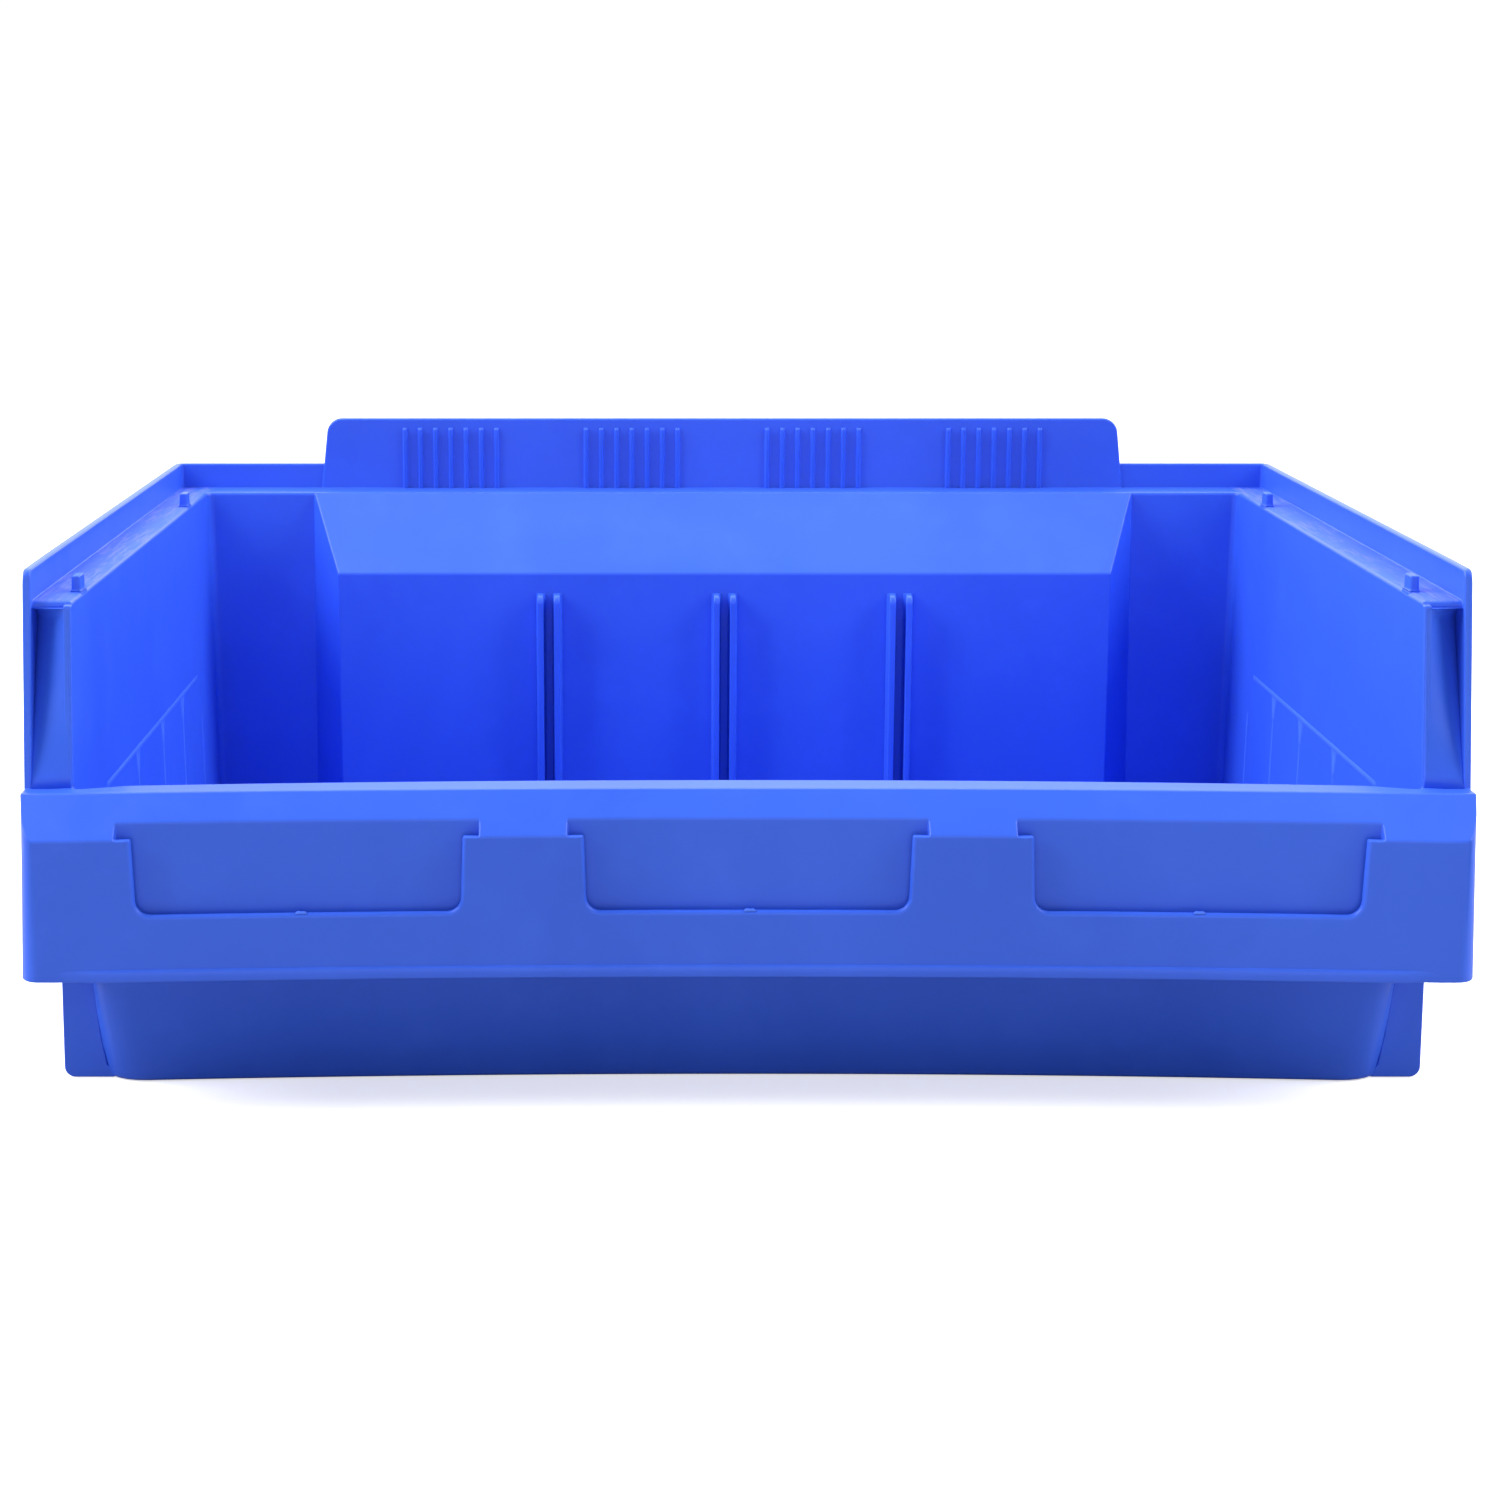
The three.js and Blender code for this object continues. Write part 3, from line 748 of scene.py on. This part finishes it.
def shrink_lines(name, side):
    """Faint raised lines inside a side wall, opposite the foot's ribs."""

    def upright(across, out, along):
        return (side * (inside_x(along) - out), across, along)

    def level(across, out, along):
        return (side * (inside_x(across) - out), along, across)

    def slanting(lean):
        def place(across, out, along):
            shift = lean * (along - SHRINK_Z + SLANT) * 0.3
            return (side * (inside_x(along) - out), across + shift, along)

        return place

    def line(centre, low, high, place, share=1.0, width=SHRINK_WIDTH):
        fade = 0.12 * (high - low)
        rows = [(low, 0.1), (low + fade, share), (high - fade, share), (high, 0.1)]
        return half_round("line", centre, width, SHRINK_HEIGHT, rows, place, 2)

    lines = [line(SHRINK_Z, GUSSETS_Y[1] + 2, SHRINK_REAR_Y, level)]
    for y in GUSSETS_Y[1:6]:
        beyond = y > SHRINK_REAR_Y
        top = SHRINK_Z - 14 if beyond else SHRINK_Z
        share = 0.5 if beyond else 0.8
        lines.append(line(y, FLOOR + 3.5, top, upright, share, UPRIGHT_WIDTH))
    for y in GUSSETS_Y[2:5]:
        for lean in (-1, 1):
            lines.append(line(y, SHRINK_Z - SLANT, SHRINK_Z + 1, slanting(lean)))
    return merge(name, lines)


def gate_marks():
    """Small pips left where the moulding's gates were broken off, on the windows' lower edges."""
    length, width, height = GATE_MARK
    marks = []
    for index in (-1, 0, 1):
        centre = index * WINDOW_PITCH + 0.6
        top_y = FRONT_Y + BAND / 2 + bow(centre) * BOW

        def on_edge(across, out, along, x=centre, y=top_y):
            return (x + along, y + across, WINDOW_BOTTOM_Z + out)

        shares = (0.15, 0.85, 1, 0.6, 0.9, 0.8, 0.15)
        rows = [(length * (i / 6 - 0.5), share) for i, share in enumerate(shares)]
        marks.append(half_round("mark", 0, width, height, rows, on_edge))
    return merge("gate_marks", marks)


def divider_guide(name, x):
    """A guide rib with a flared root where it leaves the rear wall."""
    half = GUIDE_WIDTH / 2
    tip_y = BULGE_Y - GUIDE_DEPTH
    flare = [
        (half, tip_y),
        (half, BULGE_Y - 1.1),
        (half + 0.25, BULGE_Y - 0.45),
        (half + GUIDE_FLARE, BULGE_Y + 0.05),
        (half + GUIDE_FLARE, BULGE_Y + ROOT),
    ]
    plan = [(x + across, y) for across, y in flare]
    plan += [(x - across, y) for across, y in reversed(flare)]
    guide = prism(name, plan, FLOOR - ROOT, GUIDE_TOP_Z, along_z)
    side = rounded(
        [
            (tip_y, FLOOR - 5),
            (tip_y, GUIDE_TOP_Z, GUIDE_R),
            (BULGE_Y + 5, GUIDE_TOP_Z),
            (BULGE_Y + 5, FLOOR - 5),
        ]
    )
    keep(guide, prism("profile", side, x - 10, x + 10, along_x))
    clean(guide)
    return round_edges(guide, 0.45, 3)


def stacking_nub(name, side, y):
    """A small locating block with a flared foot, on the inner edge of a side ledge."""
    middle = side * (INSIDE_X + NUB_INSET + NUB_WIDTH / 2)
    sides = ((LEDGE_Z - 1.6, -0.5), (LEDGE_Z + 0.05, -0.4), (LEDGE_Z + 0.5, 0), (NUB_TOP_Z, 0.15))
    rows = []
    for z, inset in sides:
        half_x = NUB_WIDTH / 2 - inset
        half_y = NUB_LENGTH / 2 - inset
        corners = rounded(
            [
                (middle - half_x, y - half_y, NUB_R),
                (middle + half_x, y - half_y, NUB_R),
                (middle + half_x, y + half_y, NUB_R),
                (middle - half_x, y + half_y, NUB_R),
            ],
            4,
        )
        rows.append([(u, v, z) for u, v in corners])
    return round_edges(loft(name, rows), 0.55, 4)


def label_pocket(name, centre):
    """A plate behind the window, with a floor and two end stops for the card."""
    inner = NOTCH_WIDTH / 2
    half = inner + POCKET_END
    front = FRONT_Y + BAND - ROOT
    back = FRONT_Y + POCKET_BACK - 0.03
    top = BAND_TOP_Z + (POCKET_BACK - 0.3) * BEVEL_SLOPE
    profile = [
        (front, POCKET_Z),
        (back + POCKET_WALL, POCKET_Z),
        (back + POCKET_WALL, top),
        (back, top),
        (front, BAND_TOP_Z - 1),
    ]
    pocket = prism(name, profile, centre - half, centre + half, along_x)
    card_slot = [(front - 5, POCKET_FLOOR_Z), (back, POCKET_FLOOR_Z), (back, RIM_Z), (front - 5, RIM_Z)]
    cut(pocket, prism("card_slot", card_slot, centre - inner, centre + inner, along_x))
    round_edges(pocket, 0.4, 3)
    return bend(pocket)


def foot(name, side):
    """The shelf of one foot."""
    inner = side * (inside_x(shelf_high.z) + WALL - ROOT)
    outer = side * (shelf_high.x - 2 * FOOT_LEAN)
    outline = rounded(
        [
            (inner, shelf_low.y),
            (outer, shelf_low.y, SHELF_R),
            (outer, shelf_high.y, SHELF_R),
            (inner, shelf_high.y),
        ]
    )
    return round_edges(prism(name, outline, shelf_low.z, shelf_high.z, along_z), 0.5, 3)


def foot_gusset(name, side, y):
    """An upright rib between the tub and the foot's outer edge, rooted in the tub's wall."""
    top = shelf_low.z + ROOT
    foot_x = shelf_high.x - FOOT_LEAN
    wall_x = tub_half_width(y, 0, WALL)
    outline = [
        (wall_x - 5, FLOOR / 2),
        (wall_x - FLOOR_EDGE_R, 0),
        (foot_x, 0, FOOT_R),
        (foot_x - FOOT_LEAN, top),
    ]
    outline += [(tub_half_width(y, z, WALL - ROOT), z) for z in steps(top, FLOOR + 1, 8)]
    outline = [(side * corner[0], *corner[1:]) for corner in outline]
    gusset = prism(name, rounded(outline), y - FOOT_WALL / 2, y + FOOT_WALL / 2, along_y)
    return round_edges(gusset, 0.4, 3)


def front_web(name, side):
    """The back of a front channel: flush with the tub's edge, deepest at the skirt below the ledge."""
    top = LEDGE_Z - WALL + ROOT
    far = HALF_W - RIM + ROOT
    columns = [t**1.5 for t in steps(0, 1, 14)]
    rows = steps(LIP_Z - ROOT, top - CHANNEL_TOP_R, 12)
    rows += [top - CHANNEL_TOP_R * (1 - math.sin(angle)) for angle in steps(0, math.pi / 2, 6)[1:]]

    def depth(t, z):
        if t == 0:
            return ROOT
        rise = clamp((z - LIP_Z) / (top - LIP_Z)) ** 0.9
        into_top = clamp((z - top + CHANNEL_TOP_R) / CHANNEL_TOP_R)
        return CHANNEL_DEPTH * rise * t**1.25 * math.sqrt(1 - 0.98 * into_top**2) - CHANNEL_PROUD

    points = []
    for behind in (0, WALL):
        for z in rows:
            near = tub_half_width(front_edge_y(z), z, 0.5)
            for t in columns:
                points.append((side * mix(near, far, t), front_edge_y(z) + depth(t, z) + behind, z))
    across = len(columns)
    sheet = len(rows) * across
    faces = []
    for r in range(len(rows) - 1):
        for c in range(across - 1):
            a = r * across + c
            quad = (a, a + 1, a + across + 1, a + across)
            faces.append(quad)
            faces.append(tuple(i + sheet for i in reversed(quad)))
    rim = [r * across for r in range(len(rows))]
    rim += [(len(rows) - 1) * across + c for c in range(1, across)]
    rim += [r * across + across - 1 for r in range(len(rows) - 2, -1, -1)]
    rim += range(across - 2, 0, -1)
    for i, a in enumerate(rim):
        b = rim[(i + 1) % len(rim)]
        faces.append((a, b, b + sheet, a + sheet))
    return new_piece(name, points, faces)


# ---------------------------------------------------------------- the material

DEEP_BLUE = (0.034, 0.114, 0.71)
LIGHT_BLUE = (0.043, 0.134, 0.79)
SPECKLE_BLUE = (0.055, 0.16, 0.86)
# a lighter blue: painted highlight along the shrink lines, and the gate marks' lighter tone
LIGHTER_AND_HIGHLIGHT_BLUE = (0.10, 0.24, 0.92)
WORN_BLUE = (0.13, 0.185, 0.82)


def shader_tree(name):
    material = bpy.data.materials.new(name)
    material.use_nodes = True
    tree = material.node_tree
    return material, tree, tree.nodes["Principled BSDF"]


def node(tree, kind, **settings):
    made = tree.nodes.new(kind)
    for key, value in settings.items():
        setattr(made, key, value)
    return made


def math_node(tree, operation, a, b=None, c=None, limit=False):
    made = node(tree, "ShaderNodeMath", operation=operation, use_clamp=limit)
    for socket, value in zip(made.inputs, (a, b, c)):
        if value is None:
            continue
        if isinstance(value, (int, float)):
            socket.default_value = value
        else:
            tree.links.new(value, socket)
    return made.outputs[0]


def noise(tree, vector, scale, detail=2.0, roughness=0.5, distortion=0.0):
    made = node(tree, "ShaderNodeTexNoise")
    tree.links.new(vector, made.inputs["Vector"])
    made.inputs["Scale"].default_value = scale
    made.inputs["Detail"].default_value = detail
    made.inputs["Roughness"].default_value = roughness
    made.inputs["Distortion"].default_value = distortion
    return made.outputs["Fac"]


def stretched(tree, vector, x, y, z):
    made = node(tree, "ShaderNodeMapping")
    tree.links.new(vector, made.inputs["Vector"])
    made.inputs["Scale"].default_value = (x, y, z)
    return made.outputs["Vector"]


def ramp(tree, value, low, high):
    """0 below low, 1 above high, smooth between."""
    made = node(tree, "ShaderNodeMapRange", interpolation_type="SMOOTHSTEP")
    tree.links.new(value, made.inputs["Value"])
    made.inputs["From Min"].default_value = low
    made.inputs["From Max"].default_value = high
    return made.outputs["Result"]


def blend_colour(tree, factor, a, b):
    made = node(tree, "ShaderNodeMix", data_type="RGBA")
    tree.links.new(factor, made.inputs["Factor"])
    for socket, value in zip((made.inputs[6], made.inputs[7]), (a, b)):
        if isinstance(value, tuple):
            socket.default_value = value
        else:
            tree.links.new(value, socket)
    return made.outputs[2]


def tint(colour, pale):
    """A base colour, mixed towards a lighter blue: painted highlight on the shrink lines, and a lighter
    tone on the gate marks.
    """
    return tuple(mix(c, p, pale) for c, p in zip(colour, LIGHTER_AND_HIGHLIGHT_BLUE)) + (1,)


def scuffs(tree, place):
    """Where stacked bins slide, on the ledges' top faces and the nubs: dulled, and worn in patches."""
    split = node(tree, "ShaderNodeSeparateXYZ")
    tree.links.new(place, split.inputs[0])
    x, _, z = split.outputs
    facing = node(tree, "ShaderNodeSeparateXYZ")
    tree.links.new(node(tree, "ShaderNodeNewGeometry").outputs["Normal"], facing.inputs[0])
    upward = ramp(tree, facing.outputs[2], 0.75, 0.98)
    outside = ramp(tree, math_node(tree, "ABSOLUTE", x), (INSIDE_X - 0.3) * MM, (INSIDE_X + 0.3) * MM)
    above = ramp(tree, z, (LEDGE_Z - 1.5) * MM, (LEDGE_Z - 0.5) * MM)
    on_rim = ramp(tree, z, (NUB_TOP_Z + 0.6) * MM, (NUB_TOP_Z + 1.2) * MM)
    dulled = math_node(tree, "MULTIPLY", upward, outside)
    dulled = math_node(tree, "MULTIPLY", dulled, above)
    dulled = math_node(tree, "MULTIPLY", dulled, math_node(tree, "SUBTRACT", 1.0, on_rim))
    patches = ramp(tree, noise(tree, stretched(tree, place, 1.6, 0.7, 1), 34.0, 3.0, 0.7), 0.38, 0.58)
    streaks = ramp(tree, noise(tree, stretched(tree, place, 900, 60, 900), 1.0, 3.0, 0.7), 0.42, 0.62)
    worn = math_node(tree, "MULTIPLY", dulled, math_node(tree, "MULTIPLY", patches, streaks))
    return dulled, worn


def bump(tree, height, strength, distance, below=None):
    made = node(tree, "ShaderNodeBump")
    made.inputs["Strength"].default_value = strength
    made.inputs["Distance"].default_value = distance
    tree.links.new(height, made.inputs["Height"])
    if below is not None:
        tree.links.new(below, made.inputs["Normal"])
    return made.outputs["Normal"]


def polypropylene(name, pale=0.0):
    """Semi-gloss blue moulding: faint flow marks, fine satin grain, scuffs on the stacking ledges."""
    material, tree, shader = shader_tree(name)
    place = node(tree, "ShaderNodeTexCoord").outputs["Object"]
    flow = noise(tree, stretched(tree, place, 9, 9, 3), 1.0, 3.0, 0.55, 0.6)
    mottle = noise(tree, place, 60.0, 4.0, 0.6)
    dulled, worn = scuffs(tree, place)

    # pale mixes the tones towards the lighter blue, which is a painted highlight where the shrink lines
    # use it
    tone = blend_colour(tree, ramp(tree, flow, 0.3, 0.7), tint(DEEP_BLUE, pale), tint(LIGHT_BLUE, pale))
    speckle = math_node(tree, "MULTIPLY", ramp(tree, mottle, 0.45, 0.8), 0.25)
    tone = blend_colour(tree, speckle, tone, tint(SPECKLE_BLUE, pale))
    tone = blend_colour(tree, math_node(tree, "MULTIPLY", worn, 0.9), tone, WORN_BLUE + (1,))
    tree.links.new(tone, shader.inputs["Base Color"])

    roughness = math_node(tree, "MULTIPLY_ADD", mottle, 0.10, 0.30)
    roughness = math_node(tree, "MULTIPLY_ADD", dulled, 0.35, roughness, limit=True)
    tree.links.new(roughness, shader.inputs["Roughness"])
    shader.inputs["IOR"].default_value = 1.49
    shader.inputs["Specular IOR Level"].default_value = 0.3

    grain = bump(tree, noise(tree, place, 2600.0, 2.0, 0.5), 0.05, 0.0001)
    waves = noise(tree, stretched(tree, place, 14, 14, 9), 1.0, 2.0, 0.5)
    tree.links.new(bump(tree, waves, 0.25, 0.0012, grain), shader.inputs["Normal"])
    return material


# ---------------------------------------------------------------- stage, lights and camera

# how bright the sweep is as light, in front of the bin and behind it, and as the camera sees it
SWEEP_FRONT = 0.02
SWEEP_BEHIND = 1.57
SWEEP_SEEN = 1.02
FLOOR_SEEN = 0.92
FLOOR_BOUNCE = 0.45
FLOOR_GLOW = 0.6
FLOOR_REACH = 2.0
FLOOR_DROP = 0.0002
AIM = (0, 0, 0.1)  # where the soft boxes point
# name, place, width and height in metres, power in watts
SOFT_BOXES = (
    ("left", (-1.5, -0.25, 1.2), 1.0, 1.0, 31),
    ("left_up", (-0.9, -0.1, 1.5), 0.8, 0.8, 8.2),
    ("right", (1.5, -0.25, 1.2), 1.0, 1.0, 24),
    ("right_low", (1.8, -0.9, 0.6), 0.8, 0.8, 2),
    ("right_up", (0.9, -0.1, 1.5), 0.8, 0.8, 1.7),
    ("front", (0, -2.0, 1.0), 1.6, 0.8, 5.8),
    ("front_low", (0, -1.6, 0.25), 1.6, 0.4, 3),
    ("rear_up", (0, 0.4, 0.8), 0.9, 0.3, 2.9),
)
CAMERA_PLACE = (-0.0283, -0.9181, 0.2656)
CAMERA_PITCH = 11.795  # degrees below level
CAMERA_LENS = 70.05
CAMERA_SHIFT = 0.0702


def is_camera_ray(tree):
    return node(tree, "ShaderNodeLightPath").outputs["Is Camera Ray"]


def floor_material():
    """Pale and matt; it throws less light back up than its brightness suggests."""
    material, tree, shader = shader_tree("pale_floor")
    seen = is_camera_ray(tree)
    tone = blend_colour(tree, seen, (FLOOR_BOUNCE,) * 3 + (1,), (FLOOR_SEEN,) * 3 + (1,))
    tree.links.new(tone, shader.inputs["Base Color"])
    shader.inputs["Roughness"].default_value = 0.9
    shader.inputs["Specular IOR Level"].default_value = 0.0
    shader.inputs["Emission Color"].default_value = (1, 1, 1, 1)
    tree.links.new(math_node(tree, "MULTIPLY", seen, FLOOR_GLOW), shader.inputs["Emission Strength"])
    return material


def make_floor():
    mesh = bpy.data.meshes.new("floor")
    corners = [(x * FLOOR_REACH, y * FLOOR_REACH, 0) for x, y in ((-1, -1), (1, -1), (1, 1), (-1, 1))]
    mesh.from_pydata(corners, [], [(0, 1, 2, 3)])
    mesh.materials.append(floor_material())
    floor = bpy.data.objects.new("floor", mesh)
    floor.location.z = -FLOOR_DROP
    bpy.context.scene.collection.objects.link(floor)


def area_light(name, place, width, height, power):
    data = bpy.data.lights.new(name, "AREA")
    data.shape = "RECTANGLE"
    data.size = width
    data.size_y = height
    data.energy = power
    light = bpy.data.objects.new(name, data)
    light.location = place
    light.rotation_euler = (Vector(AIM) - Vector(place)).to_track_quat("-Z", "Y").to_euler()
    light.visible_camera = False
    bpy.context.scene.collection.objects.link(light)


def make_lights():
    """A white sweep, brightest behind the bin, and soft boxes round it."""
    world = bpy.data.worlds.new("studio")
    bpy.context.scene.world = world
    world.use_nodes = True
    tree = world.node_tree
    background = tree.nodes["Background"]
    background.inputs["Color"].default_value = (1, 1, 1, 1)
    split = node(tree, "ShaderNodeSeparateXYZ")
    tree.links.new(node(tree, "ShaderNodeTexCoord").outputs["Generated"], split.inputs[0])
    behind = ramp(tree, split.outputs[1], -0.5, 0.7)
    glow = math_node(tree, "MULTIPLY_ADD", behind, SWEEP_BEHIND - SWEEP_FRONT, SWEEP_FRONT)
    seen = is_camera_ray(tree)
    unseen = math_node(tree, "SUBTRACT", 1.0, seen)
    strength = math_node(tree, "MULTIPLY", glow, unseen)
    strength = math_node(tree, "MULTIPLY_ADD", seen, SWEEP_SEEN, strength)
    tree.links.new(strength, background.inputs["Strength"])
    for name, place, width, height, power in SOFT_BOXES:
        area_light(name, place, width, height, power)


def make_camera():
    data = bpy.data.cameras.new("camera")
    data.sensor_width = 36
    data.lens = CAMERA_LENS
    data.shift_x = CAMERA_SHIFT
    camera = bpy.data.objects.new("camera", data)
    camera.location = CAMERA_PLACE
    camera.rotation_euler = (math.radians(90 - CAMERA_PITCH), 0, 0)
    bpy.context.scene.collection.objects.link(camera)
    bpy.context.scene.camera = camera


# ---------------------------------------------------------------- everything in its place

plastic = polypropylene("blue_polypropylene")
# a lighter copy of the plastic: painted highlight on the shrink lines, lighter tone on the gate marks
lighter_and_highlight_plastic = polypropylene("blue_polypropylene_lighter_and_highlight", 0.5)
SIDES = (("right", 1), ("left", -1))

# the shell stands for all the walls, ledges and skirts, the lip, the band and the tab
shell_nodes = ["floor_panel", "front_wall", "front_lip", "label_band", "rear_skirt", "rear_ledge"]
shell_nodes += ["grip_recess_panel", "grip_recess_slope", "hanging_tab"]
for side_name, _ in SIDES:
    for stem in ("side_wall", "rear_corner_wall", "grip_recess_cheek", "side_skirt", "side_ledge"):
        shell_nodes.append(f"{stem}_{side_name}")
finish(moulded_shell(), plastic, *shell_nodes)
finish(tab_ribs(), plastic, "hanging_tab")
finish(band_bead(), plastic, "label_band")
finish(gate_marks(), lighter_and_highlight_plastic, "label_band")

for pair in (-1, 0, 1):
    for k, way in enumerate((-1, 1)):
        number = (pair + 1) * 2 + k + 1
        guide_x = pair * GUIDE_PITCH + way * (GUIDE_SLOT + GUIDE_WIDTH) / 2
        finish(divider_guide(f"guide_rib_{number}", guide_x), plastic, f"divider_guide_{number}")
    name = f"label_pocket_{pair + 2}"
    finish(label_pocket(f"label_holder_{pair + 2}", pair * WINDOW_PITCH), plastic, name)

for side_name, way in SIDES:
    finish(front_web(f"channel_web_{side_name}", way), plastic, f"front_web_{side_name}")
    # the shrink lines get the lighter copy of the plastic as a painted highlight
    finish(shrink_lines(f"shrink_lines_{side_name}", way), lighter_and_highlight_plastic, f"side_wall_{side_name}")
    finish(foot(f"foot_{side_name}", way), plastic, f"foot_shelf_{side_name}")
    for number, y in enumerate(NUB_Y, 1):
        nub = stacking_nub(f"nub_{side_name}_{number}", way, y)
        finish(nub, plastic, f"stacking_nub_{side_name}_{number}")
    for number, y in enumerate(GUSSETS_Y, 1):
        gusset = foot_gusset(f"gusset_{side_name}_{number}", way, y)
        finish(gusset, plastic, f"foot_gusset_{side_name}_{number}")

make_floor()
make_lights()
make_camera()
bpy.context.scene.view_settings.view_transform = "Standard"
